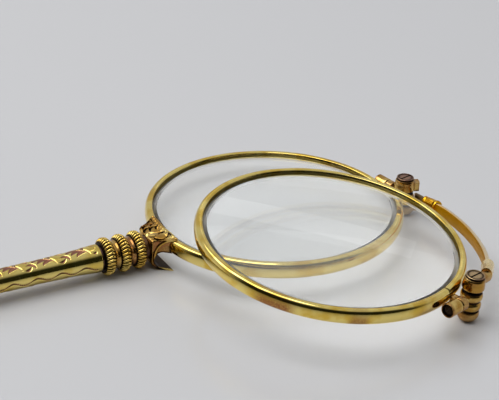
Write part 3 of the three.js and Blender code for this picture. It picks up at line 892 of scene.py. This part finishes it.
def band_section(_):
    """Half-round: a flat inner face with soft edges and a bowed outer face."""
    half, inner = BAND_HEIGHT / 2, -BAND_THICKNESS / 2
    bow = half_oval(-BAND_THICKNESS / 4, BAND_THICKNESS * 0.73, half, 23)
    edge = 0.1
    return [(inner + edge, -half + 0.02), *bow, (inner + edge, half - 0.02),
            (inner, half - edge - 0.04), (inner, 0), (inner, -half + edge + 0.04)]


def sleeve_section(t):
    """A fluted ferrule: beads at both ends, ridges between, and a scalloped mouth for the band."""
    bead = 0.1 * (math.exp(-((t - 0.06) / 0.05) ** 2) + math.exp(-((t - 0.92) / 0.06) ** 2))
    flare = 0.9 + 0.1 * t
    points = []
    for k in range(120):
        a = math.tau * k / 120
        flute = 0.045 * abs(math.sin(5 * a)) * math.sin(math.pi * min(max(t * 1.15 - 0.05, 0), 1)) ** 0.5
        size = (flare + bead * 0.5 - flute) * SLEEVE_SIZE
        points.append((0.95 * size * math.cos(a), 1.28 * size * math.sin(a)))
    return points


def band(start):
    """The spring band, with each end tucked into a sleeve."""
    shell = along_arch(band_section, start - BAND_TUCK, 180 + BAND_TUCK - start, 150)
    mesh = build("bridge_band", shell, BRIDGE, "bridge", "gold", BAND_GOLD, 50).data
    # Painted shade and warm reflection: the inner face takes the orange-brown hollow colour, with copper
    # staining towards the back pin.
    inward = -(vectors(mesh, "normal") @ np.array(BRIDGE.to_3x3() @ Vector((1, 0, 0))))
    shaded_inner_face = soft_step(inward, 0.3, 0.8)
    from_back_pin = -local(mesh, BRIDGE)[:, 1]
    paint(mesh, "hollow", shaded_inner_face)
    paint(mesh, "stain_and_shade", 0.5 * shaded_inner_face * (1 - soft_step(from_back_pin, 5, 17)))


def sleeve(name, start, end, material):
    build(name, along_arch(sleeve_section, start, end, 40), BRIDGE, "bridge", "worn_gold", material, 60)


def bridge():
    band_start = arch_angle(SLEEVE_FAR)
    sleeve_start = arch_angle(SLEEVE_NEAR)
    band(band_start)
    # The back sleeve is coloured as painted reflection and shade; the front sleeve has the plain cream
    # metal.
    sleeve("back_sleeve", sleeve_start, band_start + SLEEVE_LIP, AMBER_REFLECTION_SHADE_GOLD)
    sleeve("front_sleeve", 180 - sleeve_start, 180 - SLEEVE_LIP - band_start, CREAM_GOLD)
    arm_angle = arch_angle(SLEEVE_NEAR - 0.1)
    back_end = arch_point(arm_angle)
    fork("back_fork", -1, Vector((1.78, 0, back_end.z)), back_end, FOOT, BRIDGE)
    pivot_screw("back_pivot_screw", BRIDGE)
    front_end = arch_point(180 - arm_angle) + Vector((0, CHORD, 0))
    fork("front_fork", 1, Vector((0.2, 0, BAND_Z[1] + 0.1)), front_end, LEANING_FOOT, FRONT_FORK)
    pivot_screw("front_pivot_screw", FRONT_FORK)


# ---- handle ----
def rope_ring(name, middle, radius=ROPE_R, width=ROPE_WIDTH, twists=31):
    """A ring of twisted strands that meet in chevrons along its middle, with deep crevices painted dark as
    tarnish and shade.
    """
    around, across = twists * 16, 48
    half = width / 2
    sweep = 3.0  # how far a strand turns between the middle and the edge, in radians of its pitch
    theta = full_turn(around)[:, None]
    u = np.linspace(-1, 1, across)[None, :]
    fold = np.abs(u + 0.12)
    strand = np.abs(np.sin((theta * twists + sweep * fold) / 2))
    seam = np.exp(-(fold / 0.08) ** 2)
    crevice = np.maximum((1 - strand) ** 1.3, 0.3 * seam + 0 * theta)
    crown = np.sqrt(unit(1 - u ** 2))
    outer = radius - half + half * crown - 0.4 * half * crevice * (0.35 + 0.65 * crown) - 0.012
    bottom = np.full((around, 1), BORE)
    radii = np.concatenate([outer, bottom, bottom], 1)
    z = np.concatenate([np.broadcast_to(u * half, outer.shape), bottom * 0 + half, bottom * 0 - half], 1)
    rows = np.stack([radii * np.cos(theta), radii * np.sin(theta), z + middle], 2)
    mesh = mesh_of(name, loft(rows, closed=True), STEM)
    smooth(mesh, 70)
    # Crevices painted dark as tarnish and shade; the flanks, where the ring meets its neighbours, and the
    # bore are painted shade.
    marks = np.ones_like(radii)
    marks[:, :across] = unit(crevice * 1.5 - 0.1 + soft_step(np.abs(u), 0.75, 1.0))
    paint(mesh, "hollow", marks.ravel())
    keep(mesh, name, "back_frame", "gold", ROPE_GOLD)


def collar(name, start, end, radius, material, slot, waist=0.0):
    """A plain ring with an optional waist."""
    middle = (start + end) / 2
    profile = [(BORE, start), (radius, start), (radius - waist, middle), (radius, end), (BORE, end)]
    return build(name, lathe(profile, 120, closed=True, radius=0.09), STEM, "back_frame", slot, material)


def tube_radius(z):
    positions, radii = zip(*TUBE_RADII)
    return np.interp(z, positions, radii)


def leaf_strokes():
    """One repeat of the engraved spray: a slanted stem with leaves that curl off it."""
    leaves = [stroke((0.2, -1.15), (2.6, 1.2), 0.1, 0.16, 0.07)]
    for start, end, bend, width in (
        ((0.7, -0.5), (2.2, -1.0), 0.18, 0.24), ((1.1, -0.15), (2.9, -0.55), 0.2, 0.28),
        ((1.6, 0.3), (3.6, -0.1), 0.2, 0.3), ((2.1, 0.8), (4.2, 0.45), 0.18, 0.26),
        ((0.9, 0.1), (0.3, 1.15), -0.22, 0.22), ((1.5, 0.55), (1.2, 1.35), -0.2, 0.18),
        ((3.3, -1.1), (4.6, -0.5), 0.25, 0.2), ((3.9, -0.9), (4.9, -1.2), -0.2, 0.16),
        ((3.4, 1.1), (4.9, 1.2), 0.2, 0.16), ((4.2, 0.0), (5.0, 0.35), 0.3, 0.18),
    ):
        leaves.append(stroke(start, end, bend, width * LEAF_WIDENING, LEAF_DEPTH))
    return leaves


def handle_tube():
    """The tapered tube. Sprays are cut along its top and bottom, and a wavy ticked line down each side."""
    steps = 900
    around = 200
    z = np.linspace(0, TUBE_LENGTH, steps)
    theta = full_turn(around)
    grid_z, grid_t = np.meshgrid(z, theta, indexing="ij")
    base = tube_radius(grid_z)
    top = (grid_t + math.pi) % (math.tau) - math.pi
    half_turn = np.where(np.abs(top) > math.pi / 2, (top % (math.tau)) - math.pi, top)
    across = half_turn * base
    plain = 1.4
    points = np.stack([grid_z.ravel() - plain, across.ravel()], 1)
    depth = carved(points, leaf_strokes(), LEAF_PITCH).reshape(base.shape)
    side = (np.abs(top) - math.radians(WAVE_AT)) * base
    wave = WAVE_HEIGHT * np.sin(math.tau * grid_z / WAVE_PITCH)
    line = np.abs(side - wave)
    tick = 0.5 + 0.5 * np.sin(math.tau * grid_z / TICK_PITCH)
    climbing = unit(0.6 - np.cos(math.tau * grid_z / WAVE_PITCH + 0.9))
    line_depth, line_width, tick_width = 0.11, 0.13, 0.24
    ticks = line_depth * tick * climbing * unit(1 - np.abs(side - wave + 0.16) / tick_width)
    depth = np.maximum(depth, np.maximum(line_depth * unit(1 - (line / line_width) ** 2), ticks))
    depth *= unit((grid_z - 0.5) / 0.4) * unit((TUBE_LENGTH - 1.2 - grid_z) / 0.6)
    radius = base - depth
    rows = np.stack([radius * np.cos(grid_t), radius * np.sin(grid_t), grid_z + TUBE_START], 2)
    lip = 0.1

    def inner(r, height):
        return unit_ring(theta) * r + np.array([0, 0, TUBE_START + height])

    start_r, end_r = TUBE_RADII[0][1], TUBE_RADII[-1][1]
    rows[0] = inner(start_r - lip * 0.3, lip * 0.2)
    rows[-1] = inner(end_r - lip * 0.3, TUBE_LENGTH - lip * 0.2)
    closing = [inner(end_r - lip, TUBE_LENGTH), inner(TUBE_BORE, TUBE_LENGTH), inner(TUBE_BORE, 0),
               inner(start_r - lip, 0)]
    mesh = mesh_of("handle_tube", loft(np.concatenate([rows, np.array(closing)]), closed=True), STEM)
    smooth(mesh, 50)
    marks = np.zeros(len(mesh.vertices))
    marks[:depth.size] = unit(depth.ravel() / 0.1)
    paint(mesh, "hollow", marks * 0.95)
    keep(mesh, "handle_tube", "back_frame", "engraved_gold", ENGRAVED)


def handle():
    half = ROPE_WIDTH / 2
    # The neck and tube collar are painted dark as shade between the rings.
    collar("cornet_neck", CORNET_ROOT + FIT, ROPE_RINGS[0] - half - FIT, 1.75, SHADED_COLLAR_GOLD, "dark_gold")
    for index, middle in enumerate(ROPE_RINGS):
        rope_ring(f"rope_ring_{index + 1}", middle)
    for index, middle in enumerate(ROPE_RINGS[1:]):
        start = ROPE_RINGS[index] + half + FIT
        spacer = collar(f"ring_spacer_{index + 1}", start, middle - half - FIT, 2.15, CASTING,
                        "worn_gold", 0.12)
        # Painted shade between the rings in the copper colour: heavy on the first spacer, light on the
        # second.
        paint(spacer.data, "stain_and_shade", np.full(len(spacer.data.vertices), (0.9, 0.25)[index]))
    collar("tube_collar", ROPE_RINGS[2] + half + FIT, TUBE_START - FIT, 1.8, SHADED_COLLAR_GOLD, "dark_gold")
    handle_tube()


# ---- the handle's end ----
TUBE_END = TUBE_START + TUBE_LENGTH
EYE_AT = TUBE_END + EYE_FROM_TUBE


def past_tube(profile):
    """A profile whose heights are given from the tube's end."""
    return [(radius, TUBE_END + height) for radius, height in profile]


def handle_end():
    plug = [
        (0, -3), (TUBE_BORE - FIT, -3), (TUBE_BORE - FIT, FIT), (1.75, FIT), (1.75, 0.6), (BORE - FIT, 0.6),
        (BORE - FIT, 2.2), (0, 2.2),
    ]
    build("end_cap", lathe(past_tube(plug), radius=0.08), STEM, "back_frame", "worn_gold", CASTING)
    rope_ring("end_rope_ring", TUBE_END + 1.4, 2.1, 1.4, 30)
    knop = lathe(past_tube([
        (0, 2.25), (1.4, 2.25), (1.66, 2.45), (1.72, 2.75), (1.5, 3.25), (1.05, 3.8), (0.8, 4.6), (0, 4.6),
    ]), radius=0.12)
    half_wall = (EYE_R - EYE_HOLE) / 2
    section = oval(EYE_HOLE + half_wall, half_wall, EYE_THICKNESS / 2, 32)
    eye = lathe(section, closed=True).moved(aim((0, 0, EYE_AT), (0, 1, 0)))
    mesh = cast("end_finial", [knop, eye], STEM)
    keep(mesh, "end_finial", "back_frame", "worn_gold", CASTING)


def suspension_ring():
    slope = math.asin((RIM_PLANE - STEM_DROP - LOOP_WIRE - FIT) / (2 * LOOP_R))
    place = shift(-EYE_AT, 0, -STEM_DROP) @ turn(-math.degrees(slope), "Y") @ shift(-LOOP_R, 0, 0)
    wire = LOOP_WIRE - 0.03
    shell = lathe(oval(LOOP_R, wire, wire, 28), 160, closed=True)
    build("suspension_ring", shell, place, "suspension_ring_body", "gold", GOLD, 60)


# ---- catch ----
CATCH_FRONT = RIM_R - RIM_WIDTH + 0.12
CATCH_SPREAD = 12.8
MOUTH = (-20.05, -2.1)
MOUTH_R = 1.25


def bezier(start, control, end, steps):
    a, b, c = (np.array(p, float) for p in (start, control, end))
    return [tuple((1 - t) ** 2 * a + 2 * t * (1 - t) * b + t * t * c) for t in np.linspace(0, 1, steps + 1)]


def catch_plan():
    """Seen from above: a flare from the root to the arc of the rim."""
    low_corner = polar(CATCH_FRONT + 0.25, 180 + CATCH_SPREAD)
    high_corner = polar(CATCH_FRONT + 0.25, 180 - CATCH_SPREAD)
    arc = [polar(CATCH_FRONT, a) for a in np.linspace(180 + CATCH_SPREAD, 180 - CATCH_SPREAD, 41)]
    shoulder = -20.9
    lower = [*bezier((-CORNET_ROOT, -1.6), (-CORNET_ROOT, -2.45), (shoulder, -2.52), 8)[:-1],
             *bezier((shoulder, -2.52), (-20.2, -2.6), low_corner, 20)]
    upper = [*bezier(high_corner, (-20.2, 2.6), (shoulder, 2.52), 20)[:-1],
             *bezier((shoulder, 2.52), (-CORNET_ROOT, 2.45), (-CORNET_ROOT, 1.6), 8)]
    return [*lower, *arc, *upper]


def catch_side():
    """Seen from the side: the upper jaw, the round mouth and the pointed lower jaw."""
    front = -CATCH_FRONT + 0.1
    mouth = [(MOUTH[0] + MOUTH_R * math.cos(a), MOUTH[1] + MOUTH_R * math.sin(a))
             for a in np.linspace(math.pi / 2, math.pi * 1.5, 33)]
    top = [*bezier((-CORNET_ROOT, 0.5), (-CORNET_ROOT, 1.1), (-21.0, 1.16), 6)[:-1],
           *bezier((-21.0, 1.16), (-20.2, 1.2), (front, 1.6), 20)]
    under = bezier((-19.6, -RIM_PLANE), (-20.9, -3.75), (-CORNET_ROOT, -2.75), 16)
    return [*top, (front, -1.0), *mouth, (-19.0, -3.45), (-18.75, -RIM_PLANE), *under]


def line_distance(points, line):
    """How far each (x, y) point is from a line of corners."""
    nearest = np.full(len(points), np.inf)
    for a, b in zip(np.array(line)[:-1], np.array(line)[1:]):
        run = b - a
        t = unit(((points - a) @ run) / max(run @ run, 1e-9))
        nearest = np.minimum(nearest, np.linalg.norm(points - a - t[:, None] * run, axis=1))
    return nearest


def mouth_ridge():
    """The raised line on each side wall: from the top's front corner round the mouth to the jaw's tip."""
    return [*bezier((-18.3, 1.45), (-21.0, 0.7), (-21.2, -1.5), 12),
            *bezier((-21.2, -1.5), (-21.3, -3.2), (-19.6, -3.6), 10), (-18.75, -3.7)]


# Scroll cuts of the catch's two lobes: start and end, as distances from the root and from the middle,
# then bend, width and depth.
NEAR_LOBE = (
    ((0.75, 1.35), (2.1, 2.35), 0.3, 0.19, 0.42), ((2.1, 2.35), (2.55, 1.3), 0.5, 0.17, 0.4),
    ((2.55, 1.3), (1.55, 1.05), 0.4, 0.13, 0.34), ((0.4, 0.5), (1.2, 1.0), 0.25, 0.15, 0.34),
    ((2.5, 2.6), (2.9, 1.9), 0.3, 0.12, 0.3), ((2.75, 0.9), (1.9, 0.55), -0.3, 0.13, 0.34),
    ((2.2, 3.1), (2.75, 3.5), 0.2, 0.12, 0.26), ((0.3, 1.5), (1.3, 2.6), -0.15, 0.12, 0.3),
)
FAR_LOBE = (
    ((0.3, 0.75), (1.5, 1.35), 0.35, 0.2, 0.42), ((1.1, 0.55), (2.3, 1.1), 0.35, 0.19, 0.4),
    ((2.0, 0.5), (2.85, 1.0), 0.35, 0.15, 0.34), ((0.5, 1.75), (1.6, 2.2), 0.3, 0.17, 0.36),
    ((1.7, 1.7), (2.7, 2.1), 0.3, 0.15, 0.34), ((1.5, 2.6), (2.6, 3.1), 0.25, 0.14, 0.3),
)
SCROLL_WIDTH = 1.35


def scrolls(lobe):
    cuts = [stroke(*cut) for cut in lobe]
    return [(line, widths * SCROLL_WIDTH, depth) for line, widths, depth in cuts]


def beads_along_rim():
    """A row of beads on the catch's top, over the rim."""
    count, radius, margin = 12, 0.22, 1.4
    row = np.linspace(-CATCH_SPREAD + margin, CATCH_SPREAD - margin, count)
    places = [polar(CATCH_FRONT + 0.42, 180 + angle) for angle in row]
    return joined([ball((x, y, 1.42), radius) for x, y in places])


def carve_catch(mesh):
    """Sinks the scrolls into the top and the side walls inside their raised edges, and paints both."""
    co = local(mesh, Matrix())
    normals = vectors(mesh, "normal")
    side = np.sign(co[:, 1])
    lobe = np.abs(co[:, 1])
    from_root = co[:, 0] + CORNET_ROOT
    top = unit(normals[:, 2] * 2 - 0.6) * (co[:, 2] > 0.6)
    plan = np.stack([from_root, lobe], 1)
    depth = np.where(side < 0, carved(plan, scrolls(NEAR_LOBE)), carved(plan, scrolls(FAR_LOBE)))
    ridge_height, dome_height, field_depth, wall_depth = 0.12, 0.2, 0.24, 0.2
    ridge = ridge_height * np.exp(-((co[:, 1] - 0.3 * np.sin(from_root * 2.2)) / 0.22) ** 2)
    dome = dome_height * np.sin(np.pi * unit(lobe / 2.6)) * unit(from_root / 1.2)
    before_beads = unit((from_axis(co) - CATCH_FRONT - 0.75) / 0.15)
    co[:, 2] += top * before_beads * (dome + ridge - field_depth - depth)
    wall = soft_step(np.abs(normals[:, 1]), 0.45, 0.75)
    from_ridge = line_distance(co[:, [0, 2]], mouth_ridge())
    lip = soft_step(co[:, 2], 1.0, 1.12)
    sunk = wall * soft_step(from_ridge, 0.1, 0.24) * (1 - lip)
    co[:, 1] -= side * wall_depth * sunk
    mesh.vertices.foreach_set("co", (co * MM + np.array(BACK_CENTRE)).ravel())
    mesh.update()
    # Painted shade: the lower jaw's roof under the rim, and extra darkening of the sunk side fields near the
    # rim and low down. The scroll cuts and the rest of the sunk fields take tarnish.
    shaded_jaw_roof = soft_step(normals[:, 2], 0.5, 0.9) * (co[:, 2] < -2.4)
    shade_near_rim = soft_step(co[:, 0], -19.6, -18.9) * (co[:, 2] < 0.6)
    above = co[:, 2] > 0.2 - 0.9 * soft_step(-co[:, 0], 19.5, 21.2)
    cuts = top * soft_step(depth, 0.05, 0.18)
    dark = cuts + sunk * (0.35 + 0.4 * shade_near_rim) * (1 - 0.7 * above) + 0.85 * shaded_jaw_roof + hollows(mesh, 12)
    paint(mesh, "hollow", unit(dark))
    paint(mesh, "stain_and_shade", sunk * (0.7 + 0.3 * above))


def catch_cornet():
    """The flared catch: carved scrolls on both lobes of its top, and beads along the rim."""
    crossways = turn(90, "X")
    obj = linked("catch", mesh_of("catch", slab(catch_plan(), -5, 3), Matrix()))
    cut_away(obj, [slab(catch_side(), -6, 6).moved(crossways)], Matrix(), "INTERSECT")
    cut_away(obj, [rim_space()], Matrix())
    beads = mesh_of("beads", beads_along_rim(), Matrix())
    with_beads = bmesh.new()
    with_beads.from_mesh(obj.data)
    with_beads.from_mesh(beads)
    with_beads.to_mesh(obj.data)
    with_beads.free()
    bpy.data.meshes.remove(beads)
    melt(obj, 2)
    mesh = freed(obj)
    carve_catch(mesh)
    smooth(mesh, 60)
    keep(mesh, "catch_cornet", "back_frame", "engraved_gold", CASTING)


# ---- the object ----
def half_frame(prefix, side, matrix, body, block_z, hinge_z, pin):
    rim(f"{prefix}_rim", side, matrix, body)
    lens(f"{prefix}_lens", matrix, body)
    closing_barrel(f"{prefix}_closing_barrel", side, block_z, matrix, body)
    closing_screw(f"{prefix}_closing_screw", side, block_z, matrix, body)
    hinge_leaf(f"{prefix}_hinge_leaf", side, block_z, hinge_z, pin, matrix, body)


half_frame("back", 1, BACK_RIM, "back_frame", 0, 0, UP)
half_frame("front", -1, FRONT_RIM, "front_frame", -FRONT_RISE / 2, -FRONT_RISE, front_pin_in_rim)
bridge()
catch_cornet()
handle()
handle_end()
suspension_ring()


# ---- camera ----
LOOK_AT = Vector((-1.48, 4.78, 0))  # from the back lens centre, in millimetres
HEADING = 59.2  # of the view, from +X
PITCH = 27.3
ROLL = 2.58
DISTANCE = 223.7
FOCAL_LENGTH = 105
SENSOR_WIDTH = 36


def camera():
    data = bpy.data.cameras.new("camera")
    data.lens = FOCAL_LENGTH
    data.sensor_width = SENSOR_WIDTH
    data.clip_start = 0.01
    obj = linked("camera", data)
    forward = towards(HEADING, -PITCH)
    target = BACK_CENTRE + LOOK_AT * MM
    facing = forward.to_track_quat("-Z", "Y").to_matrix().to_4x4() @ turn(ROLL)
    obj.matrix_world = Matrix.Translation(target - forward * DISTANCE * MM) @ facing
    bpy.context.scene.camera = obj
    return forward


view_direction = camera()


# ---- floor and light ----
def floor():
    bpy.ops.mesh.primitive_circle_add(vertices=64, radius=4, fill_type="NGON")
    obj = bpy.context.object
    obj.name = "floor"
    material, _, shader = new_material("floor")
    shader.inputs["Base Color"].default_value = (0.66, 0.66, 0.67, 1)
    shader.inputs["Roughness"].default_value = 0.22
    obj.data.materials.append(material)


def softbox(name, azimuth, elevation, distance, width, height, power):
    """A rectangular lamp that faces the object from a direction, with its sizes in metres."""
    data = bpy.data.lights.new(name, "AREA")
    data.shape = "RECTANGLE"
    data.size = width
    data.size_y = height
    data.energy = power
    obj = linked(name, data)
    direction = towards(azimuth, elevation)
    obj.location = BACK_CENTRE + direction * distance
    obj.rotation_euler = direction.to_track_quat("Z", "Y").to_euler()


def surroundings():
    """A pale room, dim on the viewer's side below the ceiling. The view itself sees it pale all over."""
    world = bpy.data.worlds.new("room")
    bpy.context.scene.world = world
    world.use_nodes = True
    tree = world.node_tree
    background = tree.nodes["Background"]
    direction = node(tree, "TexCoord").outputs["Generated"]
    parts = node(tree, "SeparateXYZ")
    tree.links.new(direction, parts.inputs[0])
    height = ranged(tree, parts.outputs[2], 0.58, 0.92)
    facing = node(tree, "VectorMath", operation="DOT_PRODUCT")
    facing.inputs[1].default_value = (-view_direction.x, -view_direction.y, 0)
    tree.links.new(direction, facing.inputs[0])
    far_side = ranged(tree, facing.outputs["Value"], -0.1, 0.35, 1.0, 0.0)
    light = combined(tree, "MAXIMUM", height, far_side)
    rays = node(tree, "LightPath")
    light = combined(tree, "MAXIMUM", light, rays.outputs["Is Camera Ray"])
    dim, pale = (0.025, 0.028, 0.015), (0.86, 0.87, 0.9)
    tree.links.new(blend_colours(tree, light, dim, pale), background.inputs["Color"])
    background.inputs["Strength"].default_value = 0.6


floor()
surroundings()
softbox("overhead", 150, 72, 0.7, 0.55, 0.55, 2.4)
softbox("left_window", HEADING + 75, 42, 0.8, 0.5, 0.35, 1.2)
softbox("far_strip", HEADING - 6, 31, 1.6, 0.5, 0.05, 0.04)
bpy.context.scene.view_settings.view_transform = "Standard"
